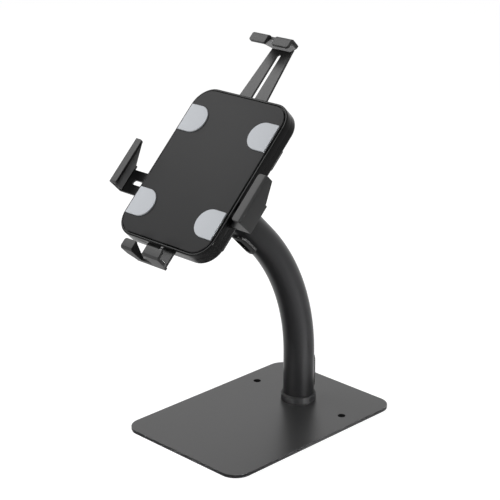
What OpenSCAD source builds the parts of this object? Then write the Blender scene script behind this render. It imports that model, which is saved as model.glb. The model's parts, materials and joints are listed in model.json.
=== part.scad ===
// Desk stand that holds a tablet: a steel base plate, a bent tube and a head with four
// sliding arms whose claws grip the edges of the tablet.
// Frame: origin under the middle of the base, +X to the user's right, -Y towards the user,
// +Z up. The head is drawn in its own frame: x across the panel, y up it, z out of its face.

/* [Base] */
// Width of the base plate, left to right
base_w = 180; // [160:1:240]
// Depth of the base plate, front to back
base_d = 260; // [220:1:340]
// Corner radius of the base plate
base_r = 20; // [8:1:40]
// Thickness of the steel base plate
plate_t = 4; // [4:0.5:8]
// Thickness of the anti-slip mat under the plate
mat_t = 1; // [0.5:0.5:3]
// How far the mat's edge lies inside the plate's edge
mat_inset = 2; // [1:0.5:6]
// Distance between the two holes that bolt the base to a desk
anchor_spacing = 136; // [80:1:144]
// Diameter of the two desk bolt holes
anchor_d = 9; // [5:0.5:12]
// Distance of the column and of the desk bolt holes behind the middle of the base
column_back = 62.5; // [30:0.5:80]

/* [Column] */
// Outer diameter of the bent tube
tube_od = 36; // [32:1:44]
// Wall thickness of the bent tube
tube_wall = 2; // [1.5:0.5:3]
// Height of the upright stretch of the tube above the plate
riser_h = 57.4; // [54:0.2:90]
// Bend radius of the tube's centre line
bend_r = 222.4; // [150:0.2:300]
// Angle that the tube bends forward
bend_angle = 45; // [30:1:60]
// Length of the straight stretch after the bend
neck_len = 61.5; // [60:0.5:100]
// Radial thickness of the collar round the foot of the tube
collar_t = 2.5; // [1.5:0.5:5]
// Height of the collar
collar_h = 9; // [5:0.5:9]
// Height of the steel plug welded inside the foot of the tube
plug_h = 8; // [6:0.5:9]
// Radius of the circle of three screws that hold the tube to the plate
foot_screw_ring = 9.5; // [8:0.5:10]
// Diameter of the foot screws
foot_screw_d = 6; // [4:0.5:6]

/* [Cable outlets] */
// Height above the plate of the lower outlet's bottom edge
lower_outlet_z = 10; // [10:0.5:12]
// Width of the lower outlet's rim
lower_outlet_w = 20; // [16:0.5:24]
// Height of the lower outlet's rim
lower_outlet_h = 44; // [28:0.5:46]
// How far the lower outlet's rim stands out of the tube
lower_rim_t = 2.4; // [1:0.2:4]
// Width of the upper outlet's rim
upper_outlet_w = 21; // [16:0.5:24]
// Length of the upper outlet's rim along the tube
upper_outlet_h = 35; // [28:0.5:38]
// Distance from the end of the bend to the upper outlet's rim
upper_outlet_start = 1; // [0.5:0.5:2]
// How far the upper outlet's rim stands out of the tube
upper_rim_t = 2.6; // [1:0.2:6]
// Width of each grommet's rim around its opening in the tube
grommet_rim = 2.4; // [1.5:0.2:3]
// Wall between a grommet's outside and its cable slot
grommet_wall = 3; // [2:0.2:3]
// Straight stretch between the round corners at the outlets' ends
outlet_flat = 3; // [1:0.5:3]

/* [Tilt and swivel] */
// Depth of the yoke's plug inside the tube
yoke_plug_l = 20; // [12:0.5:20]
// Thickness of the yoke's shoulder on the tube's end
yoke_shoulder_t = 3; // [2:0.5:6]
// Distance from the yoke's shoulder to the tilt axis
ear_reach = 16; // [14:0.5:30]
// Thickness of each ear of the yoke
ear_t = 5; // [4:0.5:6]
// Radius of the ears and of the knuckle's tongue round the tilt axis
knuckle_r = 10; // [9:0.5:12]
// Width of the knuckle's tongue between the ears
tongue_w = 18; // [12:0.5:19]
// Diameter of the tilt bolt
tilt_bolt_d = 8; // [6:0.5:10]
// Distance from the tilt axis to the back of the knuckle's flange
pivot_reach = 20; // [18:0.5:40]
// Thickness of the knuckle's flange
flange_t = 5; // [4:0.5:10]
// Radius of the knuckle's flange
flange_r = 19; // [16:0.5:24]
// Thickness of the nylon washers
washer_t = 1.2; // [0.8:0.1:2]
// Radius of the swivel stud where the bracket turns on it
stud_r = 8; // [6:0.5:10]
// Diameter of the swivel stud's thread
stud_thread_d = 8; // [6:0.5:10]
// Distance of the panel's middle above the swivel axis
panel_rise = 9; // [0:0.5:14]

/* [Rear bracket] */
// Thickness of the steel bracket behind the head
bracket_t = 3; // [2:0.5:6]
// Length of each strap of the bracket, left to right
strap_l = 130; // [116:1:132]
// Width of each strap of the bracket
strap_w = 26; // [16:1:30]
// Width of the spine that joins the straps
spine_w = 44; // [36:1:60]
// Corner radius of the bracket's straps
strap_r = 2.5; // [1:0.5:8]
// Spacing of the four screws that hold the head to the bracket
bracket_spacing = 100; // [90:1:104]
// Diameter of the bracket screws
bracket_screw_d = 4; // [3:0.5:5]

/* [Head] */
// Width of the front panel
panel_w = 132; // [128:1:150]
// Height of the front panel
panel_h = 181; // [178:1:200]
// Corner radius of the front panel
panel_r = 21; // [12:0.5:24]
// Thickness of the front panel
panel_t = 2.6; // [2:0.2:4]
// How far the panel's face stands out of the rim
panel_proud = 1; // [0.5:0.1:2]
// Groove between the panel's edge and the rim
groove = 0.8; // [0.3:0.1:1]
// Wall thickness of the front frame and the rear housing
wall_t = 2.6; // [1.6:0.2:3]
// Width of the ledge that the panel sits on
ledge_w = 4; // [2:0.5:6]
// Thickness of the ledge that the panel sits on
ledge_t = 2; // [1:0.2:2]
// Depth of the front frame from its rim to the joint with the rear housing
frame_d = 8.7; // [8.3:0.1:12]
// Thickness of the rear housing's back
skin_t = 2.4; // [2:0.2:4]
// Radius of the rear housing's back edge
back_edge_r = 4.5; // [2:0.5:6]
// Thickness of the steel chassis plate behind the arms
chassis_t = 2; // [1.5:0.5:3]
// Height of the bosses between the rear housing's back and the chassis
boss_h = 4.8; // [4.6:0.1:9]
// Gap between the chassis's edge and the wall round it
chassis_gap = 1; // [0.5:0.5:2]
// Distance of the panel screws from the panel's side edges
panel_screw_in_x = 12; // [11:0.5:14]
// Distance of the panel screws from the panel's top and bottom edges
panel_screw_in_y = 12.5; // [12:0.5:16]
// Diameter of the panel screws
panel_screw_d = 3; // [2.5:0.5:4]
// Overlap of the guide blocks over the edges of the sliding bars
guide_lip = 2; // [1:0.5:3]
// Thickness of the guide blocks' lips
guide_lip_t = 2; // [1.5:0.1:2]

/* [Pads] */
// Length of each pad's straight edge along the panel's edge
pad_l = 33; // [20:1:40]
// Width of each pad, from its straight edge to its round end
pad_w = 32; // [22:0.5:34]
// Distance of the pads' straight edges inside the panel's edge
pad_inset = 0.8; // [0:0.1:3]
// Thickness of each pad
pad_t = 1.5; // [1:0.1:3]
// Distance of the upper pads' middles above the panel's middle
upper_pad_y = 52.5; // [45:0.5:56]
// Distance of the lower pads' middles below the panel's middle
lower_pad_y = 55.5; // [45:0.5:56]

/* [Arms] */
// Thickness of the sliding bars
bar_t = 2.6; // [1.6:0.2:3]
// Width of the upper and lower bars inside the head
bar_w = 40; // [36:1:48]
// Width of the upper bar at its claw
top_tip_w = 28.6; // [26:0.2:36]
// Length of the upper bar's taper towards its claw
top_taper_l = 65; // [40:1:68]
// Width of the left and right bars
side_bar_w = 28; // [26:0.5:30]
// Width of the slot along each bar
slot_w = 5.8; // [5.6:0.2:9]
// Distance from the upper and lower claws' outer faces to the slot
slot_margin = 9; // [8:0.5:12]
// Distance from the side claws' outer faces to the slot
side_slot_margin = 12; // [10:0.5:13]
// Distance from each bar's inner end to the slot
slot_tail = 5; // [4:0.5:6]
// Length of the upper bar
top_bar_l = 116.6; // [110:0.2:123]
// Length of the lower bar
bottom_bar_l = 49.7; // [49:0.1:52]
// Length of the left and right bars
side_bar_l = 72.9; // [66:0.1:74]
// Distance from the panel's middle to the upper claw's outer face
top_reach = 163.4; // [150:0.2:180]
// Distance from the panel's middle to the lower claw's outer face
bottom_reach = 114.4; // [113:0.1:120]
// Distance from the panel's middle to the left claw's outer face
left_reach = 102.9; // [92:0.1:115]
// Distance from the panel's middle to the right claw's outer face
right_reach = 97.3; // [90:0.1:112]
// Distance of the left and right arms below the panel's middle
side_drop = 34; // [32:0.5:36]
// Distance of the upper clamp screw above the panel's middle
top_clamp_y = 82; // [72:0.5:84]
// Distance of the lower clamp screw below the panel's middle
bottom_clamp_y = 84; // [80:0.5:84]
// Distance of the side clamp screws from the panel's middle
side_clamp_x = 57; // [50:0.5:59]
// Diameter of the clamp screws
clamp_screw_d = 4; // [3:0.5:4]

/* [Claws] */
// Height of the side claws' lips above the panel's face
side_lip_top = 12; // [10:0.1:20]
// Height of the upper and lower claws' lips above the panel's face
end_lip_top = 15.2; // [10:0.1:20]
// Thickness of the claws' lips
lip_t = 3.4; // [2:0.2:4]
// Depth of each lip from the claw's outer face
lip_d = 11.7; // [9:0.1:16]
// Thickness of the claws' upright walls
claw_wall = 3.2; // [3.2:0.2:5]
// Radius of the lips' outer corners, seen from the front
lip_corner_r = 3; // [0.5:0.1:4.5]
// Radius of the lips' corners beside the gap in the upper and lower claws
gap_corner_r = 1; // [0.4:0.1:3]
// Bevel along each claw's outer top edge
claw_bevel = 2.2; // [1:0.1:3]
// Height above the panel's face where the claws reach their full width
claw_shoulder = 1.4; // [-3:0.1:4]
// Width of the upper and lower claws
claw_w = 57; // [50:0.5:64]
// Thickness of the claws' skirts over the ends of the bars
claw_skirt = 0.75; // [0.5:0.05:0.8]
// How far the lower claw's foot stands past its bar on each side
bottom_foot = 1.5; // [0:0.5:4]
// How far the side claws' feet reach up past their bars
side_foot_up = 5; // [0:0.5:8]
// How far the side claws reach up past their bars
side_claw_up = 28; // [16:0.5:30]
// Width of the gap in the upper claw
top_gap_w = 11; // [8:0.5:13]
// Depth of the gap in the upper claw
top_gap_d = 4.5; // [3.6:0.1:12]
// Width of the gap in the lower claw, where a charging cable passes
bottom_gap_w = 17.5; // [8:0.5:18]
// Depth of the gap in the lower claw
bottom_gap_d = 20.5; // [8:0.5:20.5]
// Distance of the lower claw's gap to the left of its middle
bottom_gap_left = 3.2; // [0:0.1:4]
// Thickness of the rubber liner on each claw's inner face
liner_t = 1; // [0.8:0.1:2]
// Distance of the liner's edge inside the claw's edge
liner_inset = 1; // [0.5:0.1:2]
// Distance of each claw screw from the bar's centre line
claw_screw_x = 10; // [9:0.5:11]
// Diameter of the claw screws
claw_screw_d = 1.6; // [1.4:0.1:1.6]

/* [Hidden] */
$fn = 96;

// Clearances
cut = 0.5;
slide_gap = 0.3;
thread_gap = 0.05;
run_gap = 0.05;
screw_gap = 0.2;

// Base and column
base_h = mat_t + plate_t;
tube_r = tube_od / 2;
bore_r = tube_r - tube_wall;
riser_top = base_h + riser_h;
foot_head_r = foot_screw_d * 0.9;
foot_head_h = foot_head_r - foot_screw_d / 2;
foot_thread_l = plug_h - 1;
outlet_near = bore_r / 2;
outlet_far = tube_r + 4 * tube_wall;
grommet_tail = 0.6;

// Heights in the head's frame, from the panel's face backwards
rim_n = -panel_proud;
seat_n = -panel_t;
split_n = rim_n - frame_d;
bar_n = split_n + bar_t / 2;
bar_back_n = split_n - bar_t / 2;
chassis_n = bar_back_n - slide_gap;
chassis_back_n = chassis_n - chassis_t;
skin_n = chassis_back_n - boss_h;
back_n = skin_n - skin_t;
bracket_n = back_n - bracket_t;
washer_n = bracket_n - slide_gap;
flange_n = washer_n - washer_t;
tongue_n = flange_n - flange_t;
pivot_n = tongue_n - pivot_reach;
yoke_n = pivot_n - ear_reach;
tube_n = yoke_n - yoke_shoulder_t;
head_z = neck_len - tube_n;

// Head
head_w = panel_w + 2 * (groove + wall_t);
head_h = panel_h + 2 * (groove + wall_t);
head_r = panel_r + groove + wall_t;
cavity_w = head_w - 2 * wall_t;
cavity_h = head_h - 2 * wall_t;
cavity_r = head_r - wall_t;
chassis_w = cavity_w - 2 * chassis_gap;
chassis_h = cavity_h - 2 * chassis_gap;
panel_screw_x = panel_w / 2 - panel_screw_in_x;
panel_screw_y = panel_h / 2 - panel_screw_in_y;
panel_head_r = panel_screw_d * 0.93;
panel_head_h = 1.6;
head_sink = 0.2;
bracket_x = bracket_spacing / 2;
bracket_head_r = bracket_screw_d * 0.9;
bracket_head_h = 2.6;
bracket_nut_h = 3.2;
bracket_nut_r = bracket_screw_d * 1.01;
boss_r = bracket_screw_d / 2 + 3;
panel_boss_r = panel_screw_d / 2 + 2.1;
clamp_head_r = clamp_screw_d * 0.85;
clamp_head_h = clamp_screw_d;
clamp_nut_r = 6.5;
clamp_nut_t = 2.4;
hub_hole_r = 14;
claw_screw_l = 5;
claw_screw_in = 2;
claw_head_r = claw_screw_d * 0.75;
claw_head_gap = 0.05;
claw_socket_r = 0.55;
claw_socket_h = 0.3;

// Guide blocks round the bars
guide_n = bar_n + slide_gap;
guide_top_n = guide_n + guide_lip_t;
guide_x = bar_w / 2 + slide_gap;
guide_in_x = 6.5;
guide_in_y = 7;
guide_side = cavity_w / 2 - guide_in_x;
guide_end = cavity_h / 2 - guide_in_y;
channel_top = slide_gap + side_bar_w / 2 - side_drop;
channel_bottom = -side_drop - side_bar_w / 2 - slide_gap;

// Tilt joint, x positions across it
tongue_x = tongue_w / 2;
friction_x = tongue_x + slide_gap;
ear_x = friction_x + washer_t;
ear_out_x = ear_x + ear_t;
outer_washer_t = 1.5;
bolt_head_x = ear_out_x + outer_washer_t;
bolt_r = tilt_bolt_d / 2;
bolt_head_r = bolt_r * 1.62;
bolt_head_h = tilt_bolt_d * 0.75;
bolt_nut_h = tilt_bolt_d * 0.8;
set_screw_r = 2;
set_screw_depth = 9;

// Swivel joint
stud_thread_r = stud_thread_d / 2;
stud_tail_r = stud_r * 0.62;
retainer_n = back_n + slide_gap;
retainer_t = 2;
spring_t = 0.8;
retainer_r = stud_r + 4;
swivel_nut_h = 4.2;
retainer_top_n = retainer_n + retainer_t;
spring_top_n = retainer_top_n + spring_t;
swivel_nut_n = spring_top_n + swivel_nut_h;

// Frames
module at_neck() {
    translate([0, column_back - bend_r, riser_top])
        rotate([bend_angle, 0, 0])
            translate([0, bend_r, 0])
                children();
}

module at_head() {
    at_neck()
        translate([0, panel_rise, head_z])
            children();
}

// Head frame, but centred on the swivel axis
module at_swivel() {
    at_head()
        translate([0, -panel_rise, 0])
            children();
}

// An arm's frame: origin on the claw's outer face, y outwards along the arm
module at_arm(angle, reach, drop) {
    at_head()
        translate([0, -drop, 0])
            rotate([0, 0, angle])
                translate([0, reach, 0])
                    children();
}

// Mirrors what the left arm uses into the right arm
module at_left_arm() {
    at_arm(90, left_reach, side_drop)
        children();
}

module at_right_arm() {
    at_arm(-90, right_reach, side_drop)
        mirror([1, 0, 0])
            children();
}

// Shared shapes
module rounded_rect(w, h, r) {
    square([w - 2 * r, h], center = true);
    square([w, h - 2 * r], center = true);
    for (x = [-1, 1], y = [-1, 1])
        translate([x * (w / 2 - r), y * (h / 2 - r)])
            circle(r = r);
}

// Flat slab with rounded corners between two heights
module slab(w, h, r, low, high) {
    translate([0, 0, low])
        linear_extrude(height = high - low)
            rounded_rect(w, h, r);
}

module disc(r, low, high) {
    translate([0, 0, low])
        cylinder(r = r, h = high - low);
}

module ring(outer, inner, low, high) {
    difference() {
        disc(outer, low, high);
        disc(inner, low - cut, high + cut);
    }
}

// Hexagonal nut, across its corners, with a plain bore
module hex_nut(corner_r, hole_r, low, high) {
    difference() {
        translate([0, 0, low])
            cylinder(r = corner_r, h = high - low, $fn = 6);
        disc(hole_r, low - cut, high + cut);
    }
}

// Slot with round ends along y
module slot_shape(w, low, high) {
    translate([-w / 2, low + w / 2])
        square([w, high - low - w]);
    for (y = [low + w / 2, high - w / 2])
        translate([0, y])
            circle(d = w);
}

module mirrored_x() {
    for (s = [0, 1])
        mirror([s, 0, 0])
            children();
}

module at_corners(x, y) {
    for (sx = [-1, 1], sy = [-1, 1])
        translate([sx * x, sy * y, 0])
            children();
}

module at_bracket_screws() {
    translate([0, -panel_rise, 0])
        at_corners(bracket_x, bracket_x)
            children();
}

module at_panel_screws() {
    at_corners(panel_screw_x, panel_screw_y)
        children();
}

module at_clamps() {
    translate([0, top_clamp_y, 0])
        children();
    translate([0, -bottom_clamp_y, 0])
        children();
    for (s = [-1, 1])
        translate([s * side_clamp_x, -side_drop, 0])
            children();
}

// Base
module at_foot_screws() {
    for (a = [30, 150, 270])
        translate([0, column_back, 0])
            rotate([0, 0, a])
                translate([foot_screw_ring, 0, 0])
                    children();
}

module at_anchors() {
    for (s = [-1, 1])
        translate([s * anchor_spacing / 2, column_back, 0])
            children();
}

module countersink(head_r, shank_r, low) {
    translate([0, 0, low])
        cylinder(r1 = head_r, r2 = shank_r, h = head_r - shank_r);
}

module base_plate() {
    color([0.30, 0.30, 0.31])
        difference() {
            slab(base_w, base_d, base_r, mat_t, base_h);
            at_anchors()
                disc(anchor_d / 2, 0, base_h + cut);
            at_foot_screws() {
                disc(foot_screw_d / 2 + screw_gap, 0, base_h + cut);
                countersink(foot_head_r + screw_gap, foot_screw_d / 2 + screw_gap, mat_t);
            }
        }
}

module base_mat() {
    color([0.06, 0.06, 0.06])
        difference() {
            slab(base_w - 2 * mat_inset, base_d - 2 * mat_inset, base_r - mat_inset, 0, mat_t);
            at_anchors()
                disc(anchor_d / 2, -cut, mat_t + cut);
        }
}

// Hollow stretches of the tube that meet face to face
module tube_ring() {
    difference() {
        circle(r = tube_r);
        circle(r = bore_r);
    }
}

module tube_body() {
    translate([0, column_back, base_h])
        rotate([0, 0, 90])
            linear_extrude(height = riser_h)
                tube_ring();
    translate([0, column_back - bend_r, riser_top])
        rotate([0, 90, 0])
            rotate([0, 0, 90])
                rotate_extrude(angle = bend_angle)
                    translate([bend_r, 0])
                        tube_ring();
    at_neck()
        rotate([0, 0, 90])
            linear_extrude(height = neck_len)
                tube_ring();
}

// Prism across the tube's wall for an outlet, smaller all round by the inset: y is outwards
module outlet_prism(w, low, high, inset, near, far) {
    translate([0, far, (low + high) / 2])
        rotate([90, 0, 0])
            linear_extrude(height = far - near)
                rounded_rect(w - 2 * inset, high - low - 2 * inset, (w - outlet_flat) / 2 - inset);
}

module at_lower_outlet() {
    translate([0, column_back, base_h + lower_outlet_z])
        children();
}

// The upper outlet faces down, so its prism points along -y
module at_upper_outlet() {
    at_neck()
        mirror([0, 1, 0])
            translate([0, 0, upper_outlet_start])
                children();
}

module column_tube() {
    color([0.13, 0.13, 0.13])
        difference() {
            tube_body();
            at_lower_outlet()
                outlet_prism(lower_outlet_w, 0, lower_outlet_h, grommet_rim, outlet_near, outlet_far);
            at_upper_outlet()
                outlet_prism(upper_outlet_w, 0, upper_outlet_h, grommet_rim, outlet_near, outlet_far);
            at_set_screws()
                disc(set_screw_r + thread_gap, 0, tube_r + cut);
        }
}

module foot_plug() {
    color([0.35, 0.35, 0.36])
        difference() {
            translate([0, column_back, 0])
                disc(bore_r, base_h, base_h + plug_h);
            at_foot_screws()
                disc(foot_screw_d / 2 + thread_gap, base_h - cut, base_h + plug_h + cut);
        }
}

module foot_screws() {
    color([0.62, 0.62, 0.64])
        at_foot_screws()
            difference() {
                union() {
                    disc(foot_screw_d / 2, mat_t, base_h + foot_thread_l);
                    countersink(foot_head_r, foot_screw_d / 2, mat_t);
                }
                translate([0, 0, mat_t - cut])
                    cylinder(r = foot_screw_d * 0.38, h = foot_head_h * 0.8 + cut, $fn = 6);
            }
}

module base_collar() {
    inner = tube_r + run_gap;
    outer = tube_r + collar_t;
    color([0.10, 0.10, 0.10])
        translate([0, column_back, base_h])
            rotate_extrude()
                polygon([
                    [inner, 0], [outer, 0], [outer, collar_h - collar_t / 2],
                    [outer - collar_t / 2, collar_h], [inner, collar_h]
                ]);
}

// Rubber grommet: a saddle-shaped rim on the tube, a neck in the window and a cable slot
module grommet(w, h, rim_t) {
    neck_out = tube_r + thread_gap;
    difference() {
        union() {
            intersection() {
                outlet_prism(w, 0, h, 0, outlet_near, outlet_far);
                ring(tube_r + rim_t, neck_out, -cut, h + cut);
            }
            intersection() {
                outlet_prism(w, 0, h, grommet_rim + thread_gap, outlet_near, outlet_far);
                ring(neck_out, bore_r - grommet_tail, -cut, h + cut);
            }
        }
        outlet_prism(w, 0, h, grommet_rim + grommet_wall, 0, outlet_far + cut);
    }
}

module lower_cable_grommet() {
    color([0.05, 0.05, 0.05])
        at_lower_outlet()
            grommet(lower_outlet_w, lower_outlet_h, lower_rim_t);
}

module upper_cable_grommet() {
    color([0.03, 0.03, 0.03])
        at_upper_outlet()
            grommet(upper_outlet_w, upper_outlet_h, upper_rim_t);
}

// Tilt joint, drawn along the neck: z is the tube's axis
module at_set_screws() {
    at_neck()
        translate([0, 0, neck_len - yoke_plug_l / 2])
            for (s = [-1, 1])
                rotate([0, 0, s * 35])
                    rotate([-90, 0, 0])
                        children();
}

module neck_set_screws() {
    color([0.5, 0.5, 0.52])
        at_set_screws()
            difference() {
                disc(set_screw_r, tube_r - set_screw_depth, tube_r - 0.4);
                translate([0, 0, tube_r - 2.5])
                    cylinder(r = set_screw_r / 2, h = 3, $fn = 6);
            }
}

// Cylinder along x between two places, on the tilt axis
module tilt_disc(r, low, high) {
    at_swivel()
        translate([low, 0, pivot_n])
            rotate([0, 90, 0])
                cylinder(r = r, h = high - low);
}

module neck_yoke() {
    color([0.16, 0.16, 0.17])
        difference() {
            union() {
                at_swivel() {
                    disc(bore_r - thread_gap, tube_n - yoke_plug_l, tube_n);
                    disc(tube_r, tube_n, yoke_n);
                    mirrored_x()
                        translate([ear_x, -knuckle_r, yoke_n])
                            cube([ear_t, 2 * knuckle_r, ear_reach]);
                }
                for (x = [-ear_out_x, ear_x])
                    tilt_disc(knuckle_r, x, x + ear_t);
            }
            tilt_disc(bolt_r + run_gap, -ear_out_x - cut, ear_out_x + cut);
            at_set_screws()
                disc(set_screw_r + thread_gap, tube_r - set_screw_depth - 0.5, tube_r + cut);
        }
}

module tilt_bolt() {
    tip_x = bolt_head_x + bolt_nut_h + 1;
    color([0.55, 0.55, 0.57])
        difference() {
            union() {
                tilt_disc(bolt_r, -tip_x, bolt_head_x);
                tilt_disc(bolt_head_r, bolt_head_x, bolt_head_x + bolt_head_h);
            }
            at_swivel()
                translate([bolt_head_x + bolt_head_h / 2, 0, pivot_n])
                    rotate([0, 90, 0])
                        cylinder(r = bolt_r * 0.86, h = bolt_head_h, $fn = 6);
        }
}

module tilt_nut() {
    color([0.6, 0.6, 0.62])
        at_swivel()
            translate([-bolt_head_x - bolt_nut_h, 0, pivot_n])
                rotate([0, 90, 0])
                    hex_nut(bolt_r * 1.88, bolt_r + thread_gap, 0, bolt_nut_h);
}

module tilt_outer_washers() {
    color([0.6, 0.6, 0.62])
        for (x = [-bolt_head_x, ear_out_x])
            difference() {
                tilt_disc(bolt_r * 2, x, x + outer_washer_t);
                tilt_disc(bolt_r + screw_gap, x - cut, x + outer_washer_t + cut);
            }
}

module tilt_friction_washers() {
    color([0.85, 0.85, 0.80])
        for (x = [-ear_x, friction_x])
            difference() {
                tilt_disc(knuckle_r - 0.5, x, x + washer_t);
                tilt_disc(bolt_r + screw_gap, x - cut, x + washer_t + cut);
            }
}

module tilt_knuckle() {
    color([0.15, 0.15, 0.16])
        difference() {
            union() {
                at_swivel() {
                    disc(flange_r, tongue_n, flange_n);
                    translate([-tongue_x, -knuckle_r, pivot_n])
                        cube([tongue_w, 2 * knuckle_r, pivot_reach]);
                }
                tilt_disc(knuckle_r, -tongue_x, tongue_x);
            }
            tilt_disc(bolt_r + run_gap, -tongue_x - cut, tongue_x + cut);
            at_swivel()
                disc(stud_tail_r + thread_gap, tongue_n - flange_t / 2, flange_n + cut);
        }
}

module swivel_stud() {
    color([0.55, 0.55, 0.57])
        at_swivel() {
            disc(stud_tail_r, tongue_n - flange_t / 2, flange_n);
            disc(stud_r, flange_n, retainer_n);
            disc(stud_thread_r, retainer_n, swivel_nut_n + 0.2);
        }
}

module swivel_friction_washer() {
    color([0.85, 0.85, 0.80])
        at_swivel()
            ring(flange_r - 1, stud_r + screw_gap, flange_n, washer_n);
}

module swivel_retainer() {
    color([0.6, 0.6, 0.62])
        at_swivel()
            ring(retainer_r, stud_thread_r + thread_gap, retainer_n, retainer_top_n);
}

module swivel_spring_washer() {
    color([0.5, 0.5, 0.52])
        at_swivel()
            ring(stud_thread_r * 2, stud_thread_r + thread_gap, retainer_top_n, spring_top_n);
}

module swivel_nut() {
    color([0.6, 0.6, 0.62])
        at_swivel()
            hex_nut(stud_thread_r * 1.88, stud_thread_r + thread_gap, spring_top_n, swivel_nut_n);
}

// Rear bracket
module rear_bracket() {
    color([0.17, 0.17, 0.18])
        difference() {
            at_swivel() {
                for (s = [-1, 1])
                    translate([0, s * bracket_x, 0])
                        slab(strap_l, strap_w, strap_r, bracket_n, back_n);
                slab(spine_w, bracket_spacing, strap_r, bracket_n, back_n);
            }
            at_swivel() {
                disc(stud_r + run_gap, bracket_n - cut, back_n + cut);
                at_corners(bracket_x, bracket_x)
                    disc(bracket_screw_d / 2 + screw_gap, bracket_n - cut, back_n + cut);
            }
        }
}

module bracket_screws() {
    color([0.6, 0.6, 0.62])
        at_head()
            at_bracket_screws()
                difference() {
                    union() {
                        disc(bracket_screw_d / 2, bracket_n, chassis_n + bracket_nut_h);
                        disc(bracket_head_r, bracket_n - bracket_head_h, bracket_n);
                    }
                    translate([0, 0, bracket_n - bracket_head_h - cut])
                        cylinder(r = bracket_screw_d * 0.36, h = bracket_head_h * 0.6 + cut, $fn = 6);
                }
}

module bracket_nuts() {
    color([0.62, 0.62, 0.64])
        at_head()
            at_bracket_screws()
                hex_nut(bracket_nut_r, bracket_screw_d / 2 + thread_gap, chassis_n, chassis_n + bracket_nut_h);
}

// Cuts for the four bars through the wall, at the joint between frame and housing
module bar_notches() {
    low = bar_back_n - slide_gap;
    tall = bar_t + 2 * slide_gap;
    translate([-guide_x, 0, low])
        cube([2 * guide_x, head_h, tall]);
    translate([-guide_x, -head_h, low])
        cube([2 * guide_x, head_h, tall]);
    translate([-head_w, channel_bottom, low])
        cube([2 * head_w, channel_top - channel_bottom, tall]);
}

// Half section of the housing from a corner's centre outwards, with its back edge rounded
module edge_section(r, edge, tall) {
    square([r - edge, tall]);
    translate([0, edge])
        square([r, tall - edge]);
    intersection() {
        translate([r - edge, edge])
            circle(r = edge);
        square([r, edge]);
    }
}

// Nine blocks that meet face to face: corners, sides and the middle
module housing_body(w, h, r, edge, tall) {
    flat_w = w - 2 * r;
    flat_h = h - 2 * r;
    translate([-flat_w / 2, -flat_h / 2, 0])
        cube([flat_w, flat_h, tall]);
    for (s = [0, 180])
        rotate([0, 0, s]) {
            translate([flat_w / 2, flat_h / 2, 0])
                rotate([90, 0, 0])
                    linear_extrude(height = flat_h)
                        edge_section(r, edge, tall);
            translate([-flat_w / 2, flat_h / 2, 0])
                rotate([90, 0, 90])
                    linear_extrude(height = flat_w)
                        edge_section(r, edge, tall);
            translate([flat_w / 2, flat_h / 2, 0])
                rotate_extrude(angle = 90)
                    edge_section(r, edge, tall);
            translate([-flat_w / 2, flat_h / 2, 0])
                rotate([0, 0, 90])
                    rotate_extrude(angle = 90)
                        edge_section(r, edge, tall);
        }
}

module rear_housing() {
    color([0.11, 0.11, 0.11])
        at_head()
            difference() {
                union() {
                    difference() {
                        translate([0, 0, back_n])
                            housing_body(head_w, head_h, head_r, back_edge_r, split_n - back_n);
                        slab(cavity_w, cavity_h, cavity_r, skin_n, split_n + cut);
                    }
                    at_bracket_screws()
                        disc(boss_r, skin_n, chassis_back_n);
                    at_panel_screws()
                        disc(panel_boss_r, skin_n, chassis_back_n);
                }
                bar_notches();
                at_bracket_screws()
                    disc(bracket_screw_d / 2 + screw_gap, back_n - cut, chassis_back_n + cut);
                at_panel_screws() {
                    disc(panel_screw_d / 2 + screw_gap, back_n - cut, chassis_back_n + cut);
                    disc(panel_head_r + screw_gap, back_n - cut, back_n + head_sink + panel_head_h);
                }
                at_clamps()
                    disc(clamp_head_r + cut, back_n - cut, skin_n + cut);
                translate([0, -panel_rise, 0])
                    disc(hub_hole_r, back_n - cut, skin_n + cut);
            }
}

module front_frame() {
    ledge_n = seat_n - ledge_t;
    color([0.13, 0.13, 0.13])
        at_head()
            difference() {
                slab(head_w, head_h, head_r, split_n, rim_n);
                slab(cavity_w, cavity_h, cavity_r, seat_n, rim_n + cut);
                slab(cavity_w - 2 * ledge_w, cavity_h - 2 * ledge_w, cavity_r - ledge_w, split_n, seat_n + cut);
                slab(cavity_w, cavity_h, cavity_r, split_n - cut, ledge_n);
                bar_notches();
            }
}

module front_panel() {
    color([0.20, 0.20, 0.20])
        at_head()
            difference() {
                union() {
                    slab(panel_w, panel_h, panel_r, seat_n, 0);
                    at_panel_screws()
                        disc(panel_boss_r, guide_top_n, seat_n);
                }
                at_panel_screws()
                    disc(panel_screw_d / 2 + thread_gap, guide_top_n - cut, seat_n - 0.4);
            }
}

module panel_screws() {
    head_n = back_n + head_sink;
    color([0.35, 0.35, 0.36])
        at_head()
            at_panel_screws()
                difference() {
                    union() {
                        disc(panel_screw_d / 2, head_n + panel_head_h, seat_n - 1);
                        disc(panel_head_r, head_n, head_n + panel_head_h);
                    }
                    translate([0, 0, head_n - cut])
                        cylinder(r = panel_screw_d * 0.36, h = panel_head_h * 0.6 + cut, $fn = 6);
                }
}

module chassis_plate() {
    color([0.45, 0.45, 0.46])
        at_head()
            difference() {
                slab(chassis_w, chassis_h, cavity_r - chassis_gap, chassis_back_n, chassis_n);
                at_bracket_screws()
                    disc(bracket_screw_d / 2 + screw_gap, chassis_back_n - cut, chassis_n + cut);
                at_panel_screws()
                    disc(panel_screw_d / 2 + screw_gap, chassis_back_n - cut, chassis_n + cut);
                at_clamps()
                    disc(clamp_screw_d / 2 + screw_gap, chassis_back_n - cut, chassis_n + cut);
                translate([0, -panel_rise, 0])
                    disc(retainer_r, chassis_back_n - cut, chassis_n + cut);
            }
}

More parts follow.
